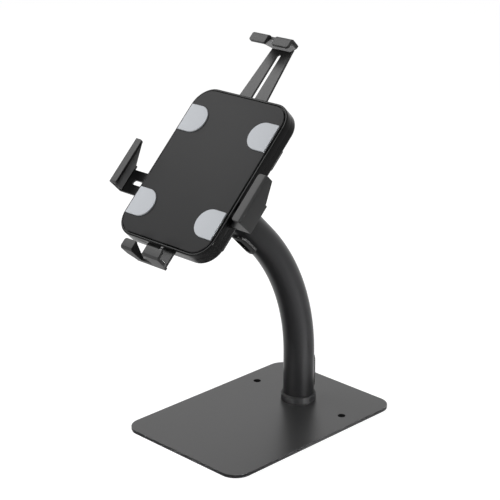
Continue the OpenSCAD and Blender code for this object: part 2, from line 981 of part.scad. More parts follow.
// Pair of blocks beside the bars: y from near to far, lips over the bars' edges
module guide_pair(low, high, low_lip, high_lip) {
    difference() {
        mirrored_x() {
            translate([guide_x, low, chassis_n])
                cube([guide_side - guide_x, high - low, guide_n - chassis_n]);
            translate([guide_x - slide_gap - guide_lip, low - low_lip, guide_n])
                cube([
                    guide_side - guide_x + slide_gap + guide_lip, high - low + low_lip + high_lip, guide_lip_t
                ]);
        }
        at_panel_screws()
            disc(panel_screw_d / 2 + screw_gap, chassis_n - cut, guide_top_n + cut);
        at_bracket_screws()
            disc(bracket_nut_r + screw_gap, chassis_n - cut, chassis_n + bracket_nut_h + screw_gap);
    }
}

module upper_guides() {
    color([0.25, 0.25, 0.26])
        at_head()
            guide_pair(channel_top, guide_end, guide_lip + slide_gap, 0);
}

module lower_guides() {
    color([0.25, 0.25, 0.26])
        at_head()
            guide_pair(-guide_end, channel_bottom, 0, guide_lip + slide_gap);
}

module arm_clamp_screws() {
    color([0.3, 0.3, 0.31])
        at_head()
            at_clamps()
                difference() {
                    union() {
                        disc(clamp_screw_d / 2, chassis_back_n, guide_n + clamp_nut_t + 0.5);
                        disc(clamp_head_r, chassis_back_n - clamp_head_h, chassis_back_n);
                    }
                    translate([0, 0, chassis_back_n - clamp_head_h - cut])
                        cylinder(r = clamp_screw_d * 0.46, h = clamp_head_h * 0.5 + cut, $fn = 6);
                }
}

// Shouldered nut: a flange over the bar and a round neck in its slot
module arm_clamp_nuts() {
    color([0.6, 0.6, 0.62])
        at_head()
            at_clamps()
                difference() {
                    union() {
                        disc(clamp_nut_r, guide_n, guide_n + clamp_nut_t);
                        disc(slot_w / 2 - slide_gap, bar_back_n + slide_gap, guide_n);
                    }
                    disc(clamp_screw_d / 2 + thread_gap, chassis_n, guide_n + clamp_nut_t + cut);
                }
}

// Pads: a straight edge along the panel's edge and a round end inwards
module pad(sx, middle) {
    round_r = pad_l / 2;
    flat = pad_w - round_r;
    color([0.78, 0.79, 0.80])
        at_head()
            translate([sx * (panel_w / 2 - pad_inset), middle, 0])
                mirror([sx > 0 ? 1 : 0, 0, 0])
                    linear_extrude(height = pad_t) {
                        translate([0, -round_r])
                            square([flat, pad_l]);
                        intersection() {
                            translate([flat, 0])
                                circle(r = round_r);
                            translate([0, -round_r])
                                square([pad_w, pad_l]);
                        }
                    }
}

module pad_upper_left() {
    pad(-1, upper_pad_y);
}

module pad_upper_right() {
    pad(1, upper_pad_y);
}

module pad_lower_left() {
    pad(-1, -lower_pad_y);
}

module pad_lower_right() {
    pad(1, -lower_pad_y);
}

// Arms, drawn with y outwards and the claw's outer face at y = 0
module arm_bar(length, root_w, tip_w, taper_l, margin) {
    shoulder_y = -claw_wall;
    color([0.28, 0.28, 0.29])
        difference() {
            translate([0, 0, bar_back_n])
                linear_extrude(height = bar_t)
                    difference() {
                        polygon([
                            [-root_w / 2, -length], [root_w / 2, -length], [root_w / 2, shoulder_y - taper_l],
                            [tip_w / 2, shoulder_y], [tip_w / 2, -claw_skirt], [-tip_w / 2, -claw_skirt],
                            [-tip_w / 2, shoulder_y], [-root_w / 2, shoulder_y - taper_l]
                        ]);
                        slot_shape(slot_w, slot_tail - length, -margin);
                    }
            at_claw_screws() {
                disc(claw_screw_d / 2 + claw_head_gap, bar_back_n - cut, bar_n + cut);
                countersink(claw_head_r + claw_head_gap, claw_screw_d / 2 + claw_head_gap, bar_back_n);
            }
        }
}

module at_claw_screws() {
    for (s = [-1, 1])
        translate([s * claw_screw_x, -claw_screw_in, 0])
            children();
}

module claw_screws() {
    color([0.6, 0.6, 0.62])
        at_claw_screws()
            difference() {
                union() {
                    disc(claw_screw_d / 2, bar_back_n, bar_back_n + claw_screw_l);
                    countersink(claw_head_r, claw_screw_d / 2, bar_back_n);
                }
                translate([0, 0, bar_back_n - cut])
                    cylinder(r = claw_socket_r, h = claw_socket_h + cut, $fn = 6);
            }
}

// The claw's outline seen along the arm, for feet and lips of unequal width
module claw_outline(left_foot, right_foot, left_lip, right_lip, low, high, shoulder) {
    polygon([
        [-left_foot, low], [right_foot, low], [right_lip, shoulder], [right_lip, high],
        [-left_lip, high], [-left_lip, shoulder]
    ]);
}

module across_arm(depth) {
    rotate([90, 0, 0])
        linear_extrude(height = depth)
            children();
}

// The claw's section: wall, lip over the tablet's edge and bevelled outer edge
module claw_section(top) {
    polygon([
        [0, bar_back_n], [0, top - claw_bevel], [-claw_bevel, top], [-lip_d, top],
        [-lip_d, top - lip_t], [-claw_wall, top - lip_t], [-claw_wall, bar_back_n]
    ]);
}

// Corner of a square piece outside a quarter circle
module corner_waste(r) {
    difference() {
        translate([-cut, -cut])
            square(r + cut);
        translate([r, r])
            circle(r = r);
    }
}

// One lip seen from the front, between two places across the arm, with its free corners rounded
module claw_tab(from, to, from_r, to_r) {
    difference() {
        translate([from, -lip_d])
            square([to - from, lip_d + cut]);
        translate([from, -lip_d])
            corner_waste(from_r);
        translate([to, -lip_d])
            mirror([1, 0])
                corner_waste(to_r);
    }
}

// The claw seen from the front: one lip, or two with a gap between two places
module claw_plan(left_lip, right_lip, gap) {
    if (gap[2] > 0) {
        translate([-left_lip, -claw_wall])
            square([left_lip + right_lip, claw_wall + cut]);
        claw_tab(-left_lip, gap[0], lip_corner_r, gap_corner_r);
        claw_tab(gap[1], right_lip, gap_corner_r, lip_corner_r);
    } else {
        claw_tab(-left_lip, right_lip, lip_corner_r, lip_corner_r);
    }
}

// A claw from its feet and lips to the left and right, its bar, its height and its gap:
// the gap's left and right place and its depth
module claw(feet, lips, bar, top, gap) {
    color([0.34, 0.34, 0.35])
        difference() {
            intersection() {
                translate([0, 0, bar_back_n - cut])
                    linear_extrude(height = top - bar_back_n + 2 * cut)
                        claw_plan(lips[0], lips[1], gap);
                translate([-lips[0], 0, 0])
                    rotate([90, 0, 90])
                        linear_extrude(height = lips[0] + lips[1])
                            claw_section(top);
                translate([0, cut, 0])
                    across_arm(lip_d + 2 * cut) {
                        claw_outline(feet[0], feet[1], lips[0], lips[1], bar_n, top, claw_shoulder);
                        translate([-feet[0], bar_back_n])
                            square([feet[0] + feet[1], bar_t]);
                    }
            }
            translate([-bar / 2, -claw_wall - cut, bar_back_n - cut])
                cube([bar, claw_wall + cut - claw_skirt, bar_t + cut]);
            if (gap[2] > 0)
                translate([gap[0], -lip_d - cut, top - gap[2]])
                    cube([gap[1] - gap[0], lip_d + 2 * cut, gap[2] + cut]);
            at_claw_screws()
                disc(claw_screw_d / 2 + thread_gap, bar_n - cut, bar_back_n + claw_screw_l + cut);
        }
}

module claw_liner(feet, lips, top, gap) {
    high = top - lip_t;
    in = liner_inset;
    color([0.42, 0.42, 0.43])
        difference() {
            translate([0, -claw_wall, 0])
                across_arm(liner_t)
                    claw_outline(
                        feet[0] - in, feet[1] - in, lips[0] - in, lips[1] - in,
                        bar_n + in, high, claw_shoulder + in
                    );
            if (gap[2] > lip_t)
                translate([gap[0] - in, -claw_wall - liner_t - cut, top - gap[2] - in])
                    cube([gap[1] - gap[0] + 2 * in, liner_t + 2 * cut, gap[2]]);
        }
}

module top_claw_shape(kind) {
    feet = [top_tip_w / 2, top_tip_w / 2];
    lips = [claw_w / 2, claw_w / 2];
    gap = [-top_gap_w / 2, top_gap_w / 2, top_gap_d];
    at_arm(0, top_reach, 0)
        if (kind == "claw")
            claw(feet, lips, top_tip_w, end_lip_top, gap);
        else
            claw_liner(feet, lips, end_lip_top, gap);
}

// Drawn upside down, so that its left is on the right
module bottom_claw_shape(kind) {
    feet = [bar_w / 2 + bottom_foot, bar_w / 2 + bottom_foot];
    lips = [claw_w / 2, claw_w / 2];
    gap = [bottom_gap_left - bottom_gap_w / 2, bottom_gap_left + bottom_gap_w / 2, bottom_gap_d];
    at_arm(180, bottom_reach, 0)
        if (kind == "claw")
            claw(feet, lips, bar_w, end_lip_top, gap);
        else
            claw_liner(feet, lips, end_lip_top, gap);
}

// Side claws keep the bar's lower edge and reach up past its upper edge
module side_claw_shape(kind) {
    half = side_bar_w / 2;
    feet = [half, half + side_foot_up];
    lips = [half, half + side_claw_up];
    gap = [0, 0, 0];
    if (kind == "claw")
        claw(feet, lips, side_bar_w, side_lip_top, gap);
    else
        claw_liner(feet, lips, side_lip_top, gap);
}

module top_arm_bar() {
    at_arm(0, top_reach, 0)
        arm_bar(top_bar_l, bar_w, top_tip_w, top_taper_l, slot_margin);
}

module top_claw() {
    top_claw_shape("claw");
}

module top_claw_liner() {
    top_claw_shape("liner");
}

module top_claw_screws() {
    at_arm(0, top_reach, 0)
        claw_screws();
}

module bottom_arm_bar() {
    at_arm(180, bottom_reach, 0)
        arm_bar(bottom_bar_l, bar_w, bar_w, 0, slot_margin);
}

module bottom_claw() {
    bottom_claw_shape("claw");
}

module bottom_claw_liner() {
    bottom_claw_shape("liner");
}

module bottom_claw_screws() {
    at_arm(180, bottom_reach, 0)
        claw_screws();
}

module left_arm_bar() {
    at_left_arm()
        arm_bar(side_bar_l, side_bar_w, side_bar_w, 0, side_slot_margin);
}

module left_claw() {
    at_left_arm()
        side_claw_shape("claw");
}

module left_claw_liner() {
    at_left_arm()
        side_claw_shape("liner");
}

module left_claw_screws() {
    at_left_arm()
        claw_screws();
}

module right_arm_bar() {
    at_right_arm()
        arm_bar(side_bar_l, side_bar_w, side_bar_w, 0, side_slot_margin);
}

module right_claw() {
    at_right_arm()
        side_claw_shape("claw");
}

module right_claw_liner() {
    at_right_arm()
        side_claw_shape("liner");
}

module right_claw_screws() {
    at_right_arm()
        claw_screws();
}

base_plate();
base_mat();
column_tube();
foot_plug();
foot_screws();
base_collar();
lower_cable_grommet();
upper_cable_grommet();
neck_yoke();
neck_set_screws();
tilt_bolt();
tilt_nut();
tilt_outer_washers();
tilt_friction_washers();
tilt_knuckle();
swivel_stud();
swivel_friction_washer();
swivel_retainer();
swivel_spring_washer();
swivel_nut();
rear_bracket();
bracket_screws();
bracket_nuts();
rear_housing();
front_frame();
front_panel();
panel_screws();
chassis_plate();
upper_guides();
lower_guides();
arm_clamp_screws();
arm_clamp_nuts();
pad_upper_left();
pad_upper_right();
pad_lower_left();
pad_lower_right();
top_arm_bar();
top_claw();
top_claw_liner();
top_claw_screws();
bottom_arm_bar();
bottom_claw();
bottom_claw_liner();
bottom_claw_screws();
left_arm_bar();
left_claw();
left_claw_liner();
left_claw_screws();
right_arm_bar();
right_claw();
right_claw_liner();
right_claw_screws();
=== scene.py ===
# %% [markdown]
# A desk stand for a tablet, dressed for a studio picture. The shapes of most steel and
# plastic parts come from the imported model, which this script loads as a fixed frame.
# The parts that the eye rests on get surfaces of their own, worked out with numpy:
# moulded claws, bars with rounded edges, soft pads, a rim that catches the light.

import json
import math

import bmesh
import bpy
import numpy as np
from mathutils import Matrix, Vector


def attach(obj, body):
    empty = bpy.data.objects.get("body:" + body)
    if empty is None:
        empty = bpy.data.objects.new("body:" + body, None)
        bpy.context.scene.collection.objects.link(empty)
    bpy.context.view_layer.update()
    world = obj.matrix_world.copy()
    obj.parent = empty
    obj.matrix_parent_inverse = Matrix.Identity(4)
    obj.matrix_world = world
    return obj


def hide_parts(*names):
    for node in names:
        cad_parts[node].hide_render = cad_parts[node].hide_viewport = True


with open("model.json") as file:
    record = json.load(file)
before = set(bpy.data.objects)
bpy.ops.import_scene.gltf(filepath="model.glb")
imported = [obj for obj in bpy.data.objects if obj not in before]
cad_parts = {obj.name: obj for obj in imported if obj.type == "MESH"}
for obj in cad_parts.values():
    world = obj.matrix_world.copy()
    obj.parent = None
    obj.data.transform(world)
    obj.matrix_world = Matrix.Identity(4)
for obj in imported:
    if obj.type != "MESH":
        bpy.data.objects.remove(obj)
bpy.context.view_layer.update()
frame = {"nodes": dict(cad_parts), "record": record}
nodes = frame["nodes"]
MM = 0.001
print("nodes in the frame:", len(nodes))

# %% [markdown]
# The camera comes first, because every judgement about a shape or a finish is made
# through it. It stands in front and to the right of the stand, a little above it, far
# away behind a long lens, which keeps the edges of the base nearly parallel. The
# place and the lens were solved from the edges of the base, the tube and the head.

# %% Camera
VIEW_AZIMUTH = math.radians(44.879)
VIEW_ELEVATION = math.radians(19.781)
CAMERA_PLACE = Vector((1.1242, -1.1471, 0.7833))
LENS_MM = 111.05

camera_data = bpy.data.cameras.new("view_camera")
camera_data.lens = LENS_MM
camera_data.sensor_width = 36.0
camera_data.clip_start, camera_data.clip_end = 0.05, 20.0
camera = bpy.data.objects.new("view_camera", camera_data)
bpy.context.scene.collection.objects.link(camera)
towards_camera = Vector((
    math.sin(VIEW_AZIMUTH) * math.cos(VIEW_ELEVATION),
    -math.cos(VIEW_AZIMUTH) * math.cos(VIEW_ELEVATION),
    math.sin(VIEW_ELEVATION),
))
camera.location = CAMERA_PLACE
camera.rotation_mode = "QUATERNION"
camera.rotation_quaternion = (-towards_camera).to_track_quat("-Z", "Y")
bpy.context.scene.camera = camera
print("camera", round(CAMERA_PLACE.length, 3), "m from the middle of the base")

# %% [markdown]
# A studio shot of a black product needs large, soft lamps, because a black surface
# shows reflections more than its own colour. The main lamp stands high on the left,
# where the panel's face mirrors it towards the camera, so the faces that look up are
# light and those that look right stay dark. A second one, high in front, fills in.
#
# A tube is a bent mirror: it squeezes each lamp into a line along its length. Three
# small lamps close to the floor draw that line, and two of them have narrow beams that
# reach the tube alone, so that they don't light the flat parts around it.

# %% Lamps
scene = bpy.context.scene
scene.view_settings.view_transform = "Standard"


def area_lamp(name, place, aim, size, power, spread=180.0):
    """A square lamp, its side in metres and power in watts; spread is its beam's angle in degrees."""
    data = bpy.data.lights.new(name, "AREA")
    data.shape = "SQUARE"
    data.size = size
    data.energy = power
    data.spread = math.radians(spread)
    lamp = bpy.data.objects.new(name, data)
    lamp.location = place
    lamp.rotation_mode = "QUATERNION"
    lamp.rotation_quaternion = (Vector(aim) - Vector(place)).to_track_quat("-Z", "Y")
    lamp.visible_camera = False
    scene.collection.objects.link(lamp)


HEAD_CENTRE = (0.0, -0.0886, 0.3183)
TUBE_FOOT = (0.0, 0.06, 0.05)
TUBE_BEND = (0.0, 0.02, 0.13)
TUBE_FRONT = (0.0, 0.0, 0.15)
area_lamp("key_lamp", (-1.05, -0.5, 1.63), HEAD_CENTRE, 1.0, 20.5)
area_lamp("high_lamp", (1.15, -1.25, 1.75), HEAD_CENTRE, 0.8, 8.0)
area_lamp("side_lamp", (1.8, 0.0, 0.1), TUBE_BEND, 0.2, 1.2, 10.0)
area_lamp("foot_lamp", (-0.2, -1.8, 0.1), TUBE_FOOT, 0.16, 0.15, 8.0)
area_lamp("front_lamp", (-0.2, -1.5, 0.13), TUBE_FRONT, 0.24, 8.0)
print("lamps:", len(bpy.data.lights))

# %% [markdown]
# The background is white, also where a glossy surface mirrors it, while the light that
# it gives is a faint grey. A Light Path node makes the difference: it tells which kind
# of ray asks, and the white is added for some kinds only. The floor is grey paper under
# the same white, so a trace of the shadow stays.

# %% World and floor
WORLD_GREY, WORLD_STRENGTH, WORLD_WHITE = 0.8, 0.06, 1.0
PAPER_GREY, PAPER_WHITE, PAPER_HALF = 0.25, 0.97, 3.0


def camera_white(tree, plain, strength):
    """Adds white to a plain shader, for camera, glossy and transmission rays alone."""
    rays = tree.nodes.new("ShaderNodeLightPath")
    first, second = (tree.nodes.new("ShaderNodeMath") for _ in range(2))
    first.operation = second.operation = "MAXIMUM"
    tree.links.new(rays.outputs["Is Camera Ray"], first.inputs[0])
    tree.links.new(rays.outputs["Is Transmission Ray"], first.inputs[1])
    tree.links.new(first.outputs[0], second.inputs[0])
    tree.links.new(rays.outputs["Is Glossy Ray"], second.inputs[1])
    in_world = plain.bl_idname == "ShaderNodeBackground"
    white = tree.nodes.new("ShaderNodeBackground" if in_world else "ShaderNodeEmission")
    white.inputs["Color"].default_value = (1.0, 1.0, 1.0, 1.0)
    white.inputs["Strength"].default_value = strength
    both = tree.nodes.new("ShaderNodeAddShader")
    tree.links.new(plain.outputs[0], both.inputs[0])
    tree.links.new(white.outputs[0], both.inputs[1])
    mix = tree.nodes.new("ShaderNodeMixShader")
    tree.links.new(second.outputs[0], mix.inputs[0])
    tree.links.new(plain.outputs[0], mix.inputs[1])
    tree.links.new(both.outputs[0], mix.inputs[2])
    return mix


world = bpy.data.worlds.new("studio")
scene.world = world
world.use_nodes = True
tree = world.node_tree
tree.nodes.clear()
grey = tree.nodes.new("ShaderNodeBackground")
grey.inputs["Color"].default_value = (WORLD_GREY, WORLD_GREY, WORLD_GREY, 1.0)
grey.inputs["Strength"].default_value = WORLD_STRENGTH
world_out = tree.nodes.new("ShaderNodeOutputWorld")
tree.links.new(camera_white(tree, grey, WORLD_WHITE).outputs[0], world_out.inputs["Surface"])


def shader_material(name):
    """An empty node material with its output, ready for a shader."""
    material = bpy.data.materials.new(name)
    material.use_nodes = True
    material.node_tree.nodes.clear()
    out = material.node_tree.nodes.new("ShaderNodeOutputMaterial")
    return material, material.node_tree, out


floor_material, tree, out = shader_material("studio_floor")
paper = tree.nodes.new("ShaderNodeBsdfDiffuse")
paper.inputs["Color"].default_value = (PAPER_GREY, PAPER_GREY, PAPER_GREY, 1.0)
tree.links.new(camera_white(tree, paper, PAPER_WHITE).outputs[0], out.inputs["Surface"])
floor_mesh = bpy.data.meshes.new("floor")
floor_mesh.from_pydata(
    [(-PAPER_HALF, -PAPER_HALF, 0.0), (PAPER_HALF, -PAPER_HALF, 0.0),
     (PAPER_HALF, PAPER_HALF, 0.0), (-PAPER_HALF, PAPER_HALF, 0.0)], [], [(0, 1, 2, 3)])
floor_mesh.materials.append(floor_material)
floor = bpy.data.objects.new("floor", floor_mesh)
scene.collection.objects.link(floor)
print("floor", 2 * PAPER_HALF, "m wide")

# %% [markdown]
# Finishes. Powder coat is paint baked from dust: satin, with a fine orange-peel that
# only shows where a lamp is mirrored. Moulded plastic has a spark-eroded texture, finer
# and duller. Both are a plain colour with a little noise in the roughness and a very
# shallow bump, at the real scale of the grain. One function makes them all.

# %% A finish
NOISE_DETAIL = 3.0
BUMP_DEPTH = 0.05 * MM


def principled(name, colour, roughness, grain, spread, mottle, bump=0.0, metallic=0.0,
               specular=0.5):
    """Principled material with noise, whose scale is grain.

    The roughness moves by spread either way, the colour by the share mottle of itself,
    and the surface by bump.
    """
    material, tree, out = shader_material(name)
    shader = tree.nodes.new("ShaderNodeBsdfPrincipled")
    shader.inputs["Base Color"].default_value = (*colour, 1.0)
    shader.inputs["Roughness"].default_value = roughness
    shader.inputs["Metallic"].default_value = metallic
    shader.inputs["Specular IOR Level"].default_value = specular
    tree.links.new(shader.outputs[0], out.inputs["Surface"])
    place = tree.nodes.new("ShaderNodeTexCoord")
    noise = tree.nodes.new("ShaderNodeTexNoise")
    noise.inputs["Scale"].default_value = grain
    noise.inputs["Detail"].default_value = NOISE_DETAIL
    tree.links.new(place.outputs["Object"], noise.inputs["Vector"])
    if bump:
        raised = tree.nodes.new("ShaderNodeBump")
        raised.inputs["Strength"].default_value = bump
        raised.inputs["Distance"].default_value = BUMP_DEPTH
        tree.links.new(noise.outputs["Fac"], raised.inputs["Height"])
        tree.links.new(raised.outputs[0], shader.inputs["Normal"])
    rough = tree.nodes.new("ShaderNodeMapRange")
    rough.inputs["To Min"].default_value = roughness - spread
    rough.inputs["To Max"].default_value = roughness + spread
    tree.links.new(noise.outputs["Fac"], rough.inputs["Value"])
    tree.links.new(rough.outputs[0], shader.inputs["Roughness"])
    tint = tree.nodes.new("ShaderNodeMix")
    tint.data_type = "RGBA"
    tint.inputs["A"].default_value = (*[c * (1 - mottle) for c in colour], 1.0)
    tint.inputs["B"].default_value = (*[c * (1 + mottle) for c in colour], 1.0)
    tree.links.new(noise.outputs["Fac"], tint.inputs["Factor"])
    tree.links.new(tint.outputs["Result"], shader.inputs["Base Color"])
    return material


# %% [markdown]
# The finishes are listed by the name of their slot in the part's record. Nothing black
# is really black: its colour is one or two hundredths of white, and the grey that the
# eye sees is mostly the lamps' reflection, which Specular and Roughness set.

# %% Finishes
TEXTURE_GRAIN, PEEL_GRAIN = 2600.0, 700.0
# The edge's low shine is painted shade: the plate's sides reflect less than its top.
PLATE_SHINE, PLATE_SHADED_EDGE_SHINE = 0.58, 0.06

finish = {
    "base_coat": principled("base_powder_coat", (0.02, 0.02, 0.0205), 0.34, specular=PLATE_SHINE,
                            grain=PEEL_GRAIN, bump=0.15, spread=0.04, mottle=0.08),
    "column_coat": principled("column_powder_coat", (0.003, 0.003, 0.0032), 0.3, specular=0.15,
                              grain=PEEL_GRAIN, bump=0.15, spread=0.04, mottle=0.08),
    "joint_coat": principled("joint_powder_coat", (0.012, 0.012, 0.0125), 0.4, specular=0.25,
                             grain=PEEL_GRAIN, bump=0.15, spread=0.05, mottle=0.08),
    "bar_coat": principled("bar_powder_coat", (0.009, 0.009, 0.0093), 0.4, specular=0.28,
                           grain=PEEL_GRAIN, bump=0.15, spread=0.05, mottle=0.08),
    "bare_steel": principled("machined_steel", (0.45, 0.45, 0.46), 0.32, metallic=1.0,
                             grain=TEXTURE_GRAIN, spread=0.1, mottle=0.08),
    "zinc_steel": principled("zinc_plate", (0.36, 0.36, 0.375), 0.34, metallic=1.0,
                             grain=TEXTURE_GRAIN, spread=0.08, mottle=0.06),
    "spring_steel": principled("oiled_spring_steel", (0.25, 0.25, 0.27), 0.3, metallic=1.0,
                               grain=TEXTURE_GRAIN, spread=0.1, mottle=0.08),
    "dark_screw": principled("black_oxide", (0.03, 0.03, 0.033), 0.35, metallic=0.7,
                             grain=TEXTURE_GRAIN, spread=0.08, mottle=0.08),
    "housing_plastic": principled("housing_plastic", (0.006, 0.006, 0.0062), 0.24, specular=0.09,
                                  grain=TEXTURE_GRAIN, bump=0.12, spread=0.05, mottle=0.08),
    "panel_plastic": principled("panel_plastic", (0.02, 0.02, 0.0205), 0.5, specular=0.11,
                                grain=TEXTURE_GRAIN, bump=0.2, spread=0.05, mottle=0.1),
    "guide_plastic": principled("guide_plastic", (0.04, 0.04, 0.042), 0.5, specular=0.3,
                                grain=TEXTURE_GRAIN, bump=0.1, spread=0.05, mottle=0.08),
    "claw_plastic": principled("claw_plastic", (0.012, 0.012, 0.0122), 0.5, specular=0.34,
                               grain=TEXTURE_GRAIN, bump=0.2, spread=0.05, mottle=0.1),
    "black_plastic": principled("collar_plastic", (0.005, 0.005, 0.0053), 0.45, specular=0.18,
                                grain=TEXTURE_GRAIN, bump=0.15, spread=0.05, mottle=0.08),
    "nylon": principled("washer_nylon", (0.6, 0.59, 0.55), 0.45, grain=TEXTURE_GRAIN,
                        spread=0.05, mottle=0.05),
    "mat_rubber": principled("mat_rubber", (0.005, 0.005, 0.005), 0.6, specular=0.2,
                             grain=TEXTURE_GRAIN, bump=0.3, spread=0.08, mottle=0.1),
    "liner_rubber": principled("liner_rubber", (0.45, 0.45, 0.453), 0.6, specular=0.25,
                               grain=TEXTURE_GRAIN, bump=0.3, spread=0.06, mottle=0.1),
    "pad_rubber": principled("pad_silicone", (0.54, 0.56, 0.59), 0.6, specular=0.3,
                             grain=TEXTURE_GRAIN, bump=0.2, spread=0.05, mottle=0.03),
}
print("finishes:", len(finish))

# %% [markdown]
# The desk plate's side faces get painted shade: they have the same coat as its top, but
# its reflection is turned nearly off there, so the edge looks nearly black. The side faces
# could have a material of their own, but the height of a point tells as well whether it
# is on the edge. So a Map Range node fades the reflection just below the top.

# %% Painted shade on the desk plate's edge
PLATE_SHADE_START, PLATE_SHADE_BAND = 0.05 * MM, 0.4 * MM


def painted_shade_below(material, height, band, level, specular):
    """Painted shade by height: specular level up to height - band, then evenly up to specular at
    height.
    """
    tree = material.node_tree
    place = tree.nodes.new("ShaderNodeTexCoord")
    split = tree.nodes.new("ShaderNodeSeparateXYZ")
    by_height = tree.nodes.new("ShaderNodeMapRange")
    for key, value in (("From Min", height - band), ("From Max", height),
                       ("To Min", level), ("To Max", specular)):
        by_height.inputs[key].default_value = value
    tree.links.new(place.outputs["Object"], split.inputs[0])
    tree.links.new(split.outputs["Z"], by_height.inputs["Value"])
    shader = next(n for n in tree.nodes if n.bl_idname == "ShaderNodeBsdfPrincipled")
    tree.links.new(by_height.outputs[0], shader.inputs["Specular IOR Level"])


# Painted shade: below its top, the plate's sides reflect much less.
plate_top = max(corner[2] for corner in nodes["base_plate"].bound_box)
painted_shade_below(finish["base_coat"], plate_top - PLATE_SHADE_START, PLATE_SHADE_BAND,
             PLATE_SHADED_EDGE_SHINE, PLATE_SHINE)
print("plate's top", round(plate_top / MM, 2), "mm high")

# %% [markdown]
# The head is tilted 45 degrees, so its pieces are worked out in a frame of their own:
# u across the panel to the right, v up the panel, n out of its face. One function
# carries points from there into the scene. Each piece below is a grid of points, and
# each row of the grid is a closed loop, such as one contour of a pad.

# %% The head's frame and closed grids
HEAD = np.array([0.0, -88.553, 318.302])
TILT = math.sqrt(0.5)
HEAD_AXES = np.array([[1.0, 0.0, 0.0], [0.0, TILT, TILT], [0.0, -TILT, TILT]])
SHARP_EDGE = math.radians(38.0)


def from_head(points):
    """Head frame to scene, in metres: the panel's middle plus u, v and n times the head's axes."""
    return MM * (HEAD + points @ HEAD_AXES)


def link_piece(name, mesh, slot, body, *replaced):
    """Gives a mesh its finish, its place and the body it rides on, and hides the nodes it stands for.
    """
    mesh.materials.append(finish[slot])
    piece = bpy.data.objects.new(name, mesh)
    scene.collection.objects.link(piece)
    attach(piece, body)
    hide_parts(*replaced)
    return piece


def smooth_faces(mesh):
    """Smooth shading, except across edges that turn by more than SHARP_EDGE."""
    mesh.polygons.foreach_set("use_smooth", np.ones(len(mesh.polygons), dtype=bool))
    mesh.set_sharp_from_angle(angle=SHARP_EDGE)


def loop_quads(index):
    """Quads between each row of point numbers and the next, where every row is a closed loop."""
    ahead = np.roll(index, -1, axis=1)
    return np.stack([index[:-1], ahead[:-1], ahead[1:], index[1:]], axis=-1).reshape(-1, 4)


def fan(polygons):
    """Triangles of polygons (count, corners): the first corner with each side that misses it."""
    first = np.broadcast_to(polygons[:, :1], polygons[:, 2:].shape)
    return np.stack([first, polygons[:, 1:-1], polygons[:, 2:]], axis=-1).reshape(-1, 3)


def closed_mesh(name, grids, ring=False):
    """Mesh of grids (rows, columns, 3): the rows are loops, joined in turn, with a cap at each end.

    With ring the last row meets the first instead. Six times the volume is the sum of
    a . (b x c) over all triangles a, b, c, and its sign tells whether the faces point out.
    """
    points, faces, start = [], [], 0
    for grid in grids:
        flat = grid.reshape(-1, 3)
        index = np.arange(len(flat)).reshape(grid.shape[:2])
        if ring:
            quads, caps = loop_quads(np.concatenate([index, index[:1]])), index[:0]
        else:
            quads, caps = loop_quads(index), np.stack([index[0, ::-1], index[-1]])
        corners = np.concatenate([fan(quads), fan(caps)])
        a, b, c = (flat[corners[:, k]] for k in range(3))
        if np.einsum("ij,ij->i", a, np.cross(b, c)).sum() < 0:
            quads, caps = quads[:, ::-1], caps[:, ::-1]
        points.append(flat)
        faces += (quads + start).tolist() + (caps + start).tolist()
        start += len(flat)
    mesh = bpy.data.meshes.new(name)
    mesh.from_pydata(np.concatenate(points).tolist(), [], faces)
    mesh.validate()
    smooth_faces(mesh)
    return mesh


print("head tilted", round(math.degrees(math.asin(TILT))), "degrees")

# %% [markdown]
# A pad or a panel is a flat slab with a rounded edge. It could be a cube with a bevel,
# but an outline and a list of insets say it more directly: every contour is the outline
# moved inwards along its normal, and its height follows a quarter circle.

# %% Outlines and slabs
ARC_STEPS, EDGE_STEPS = 13, 6


def arc(cx, cy, r, start, stop, steps=ARC_STEPS):
    """Points of an arc: centre plus r times cosine and sine of evenly spaced angles, in degrees."""
    a = np.radians(np.linspace(start, stop, steps))
    return np.stack([cx + r * np.cos(a), cy + r * np.sin(a)], axis=-1)


def rounded_rect(w, h, r):
    """Rectangle with round corners, counter-clockwise: four quarter arcs joined by straight sides."""
    x, y = w / 2 - r, h / 2 - r
    return np.concatenate([arc(x, y, r, 0, 90), arc(-x, y, r, 90, 180),
                           arc(-x, -y, r, 180, 270), arc(x, -y, r, 270, 360)])


def outward(outline):
    """Unit normals of a closed outline: the step from the last point to the next, turned right."""
    step = np.roll(outline, -1, axis=0) - np.roll(outline, 1, axis=0)
    normal = np.stack([step[:, 1], -step[:, 0]], axis=-1)
    return normal / np.linalg.norm(normal, axis=1, keepdims=True)


def slab_grid(outline, low, high, edge, low_edge):
    """Contours of a slab, with a quarter circle at each edge.

    For a from 0 to 90 degrees the inset is edge (1 - cos a) and the height is
    high - edge (1 - sin a). The lower edge is the same with low_edge, upside down.
    """
    a = np.radians(np.linspace(0, 90, EDGE_STEPS))
    inset = np.concatenate([low_edge * (1 - np.cos(a[::-1])), edge * (1 - np.cos(a))])
    height = np.concatenate([low + low_edge * (1 - np.sin(a[::-1])), high - edge * (1 - np.sin(a))])
    flat = outline[None] - inset[:, None, None] * outward(outline)[None]
    tall = np.broadcast_to(height[:, None, None], flat.shape[:2] + (1,))
    return np.concatenate([flat, tall], axis=-1)


print("a slab has", 2 * EDGE_STEPS, "contours")

# %% [markdown]
# The front panel is a moulded plate that stands a little out of the rim. Its front edge
# is broken by a small radius, which shows as a thin bright line. Behind it are four
# screw bosses, plain drums that nobody sees, so each is one short slab of its own.

# %% Front panel
PANEL_W, PANEL_H, PANEL_R = 132.0, 181.0, 21.0
PANEL_T, BOSS_LOW, BOSS_R = 2.6, -6.1, 3.6
BOSS_U, BOSS_V = 54.0, 78.0
PANEL_EDGE, BOSS_EDGE, BACK_EDGE = 0.8, 0.1, 0.2

